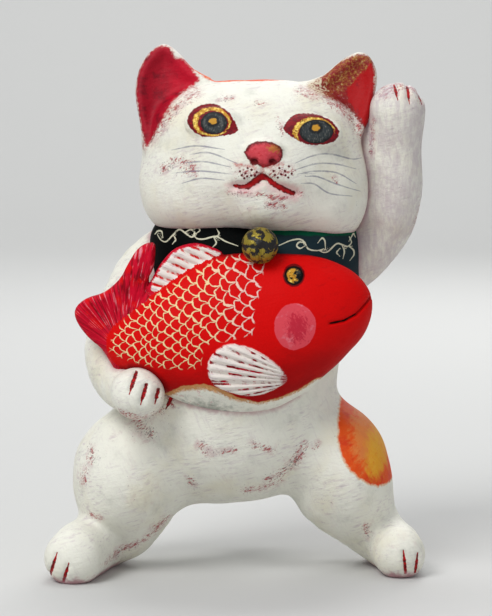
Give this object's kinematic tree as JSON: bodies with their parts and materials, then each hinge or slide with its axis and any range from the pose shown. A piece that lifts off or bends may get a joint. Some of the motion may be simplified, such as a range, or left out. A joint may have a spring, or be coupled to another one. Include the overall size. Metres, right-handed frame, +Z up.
{
  "type": "ceramic beckoning cat",
  "caption": "Hand-modelled ceramic beckoning cat, standing with one paw raised and a red sea bream held in the other arm, with a gilt bell at its collar.",
  "frame": {"origin": "on the ground under the middle of the figure's box", "axes": "+Z up, -Y to the front that the face looks at, +X to the side of the raised paw as the viewer sees it"},
  "size_m": [0.176, 0.1207, 0.2458],
  "materials": {
    "white_ceramic": "satin",
    "gilt_bell": "satin"
  },
  "bodies": {
    "root": {"cat": "white_ceramic", "bell": "gilt_bell"}
  },
  "joints": []
}
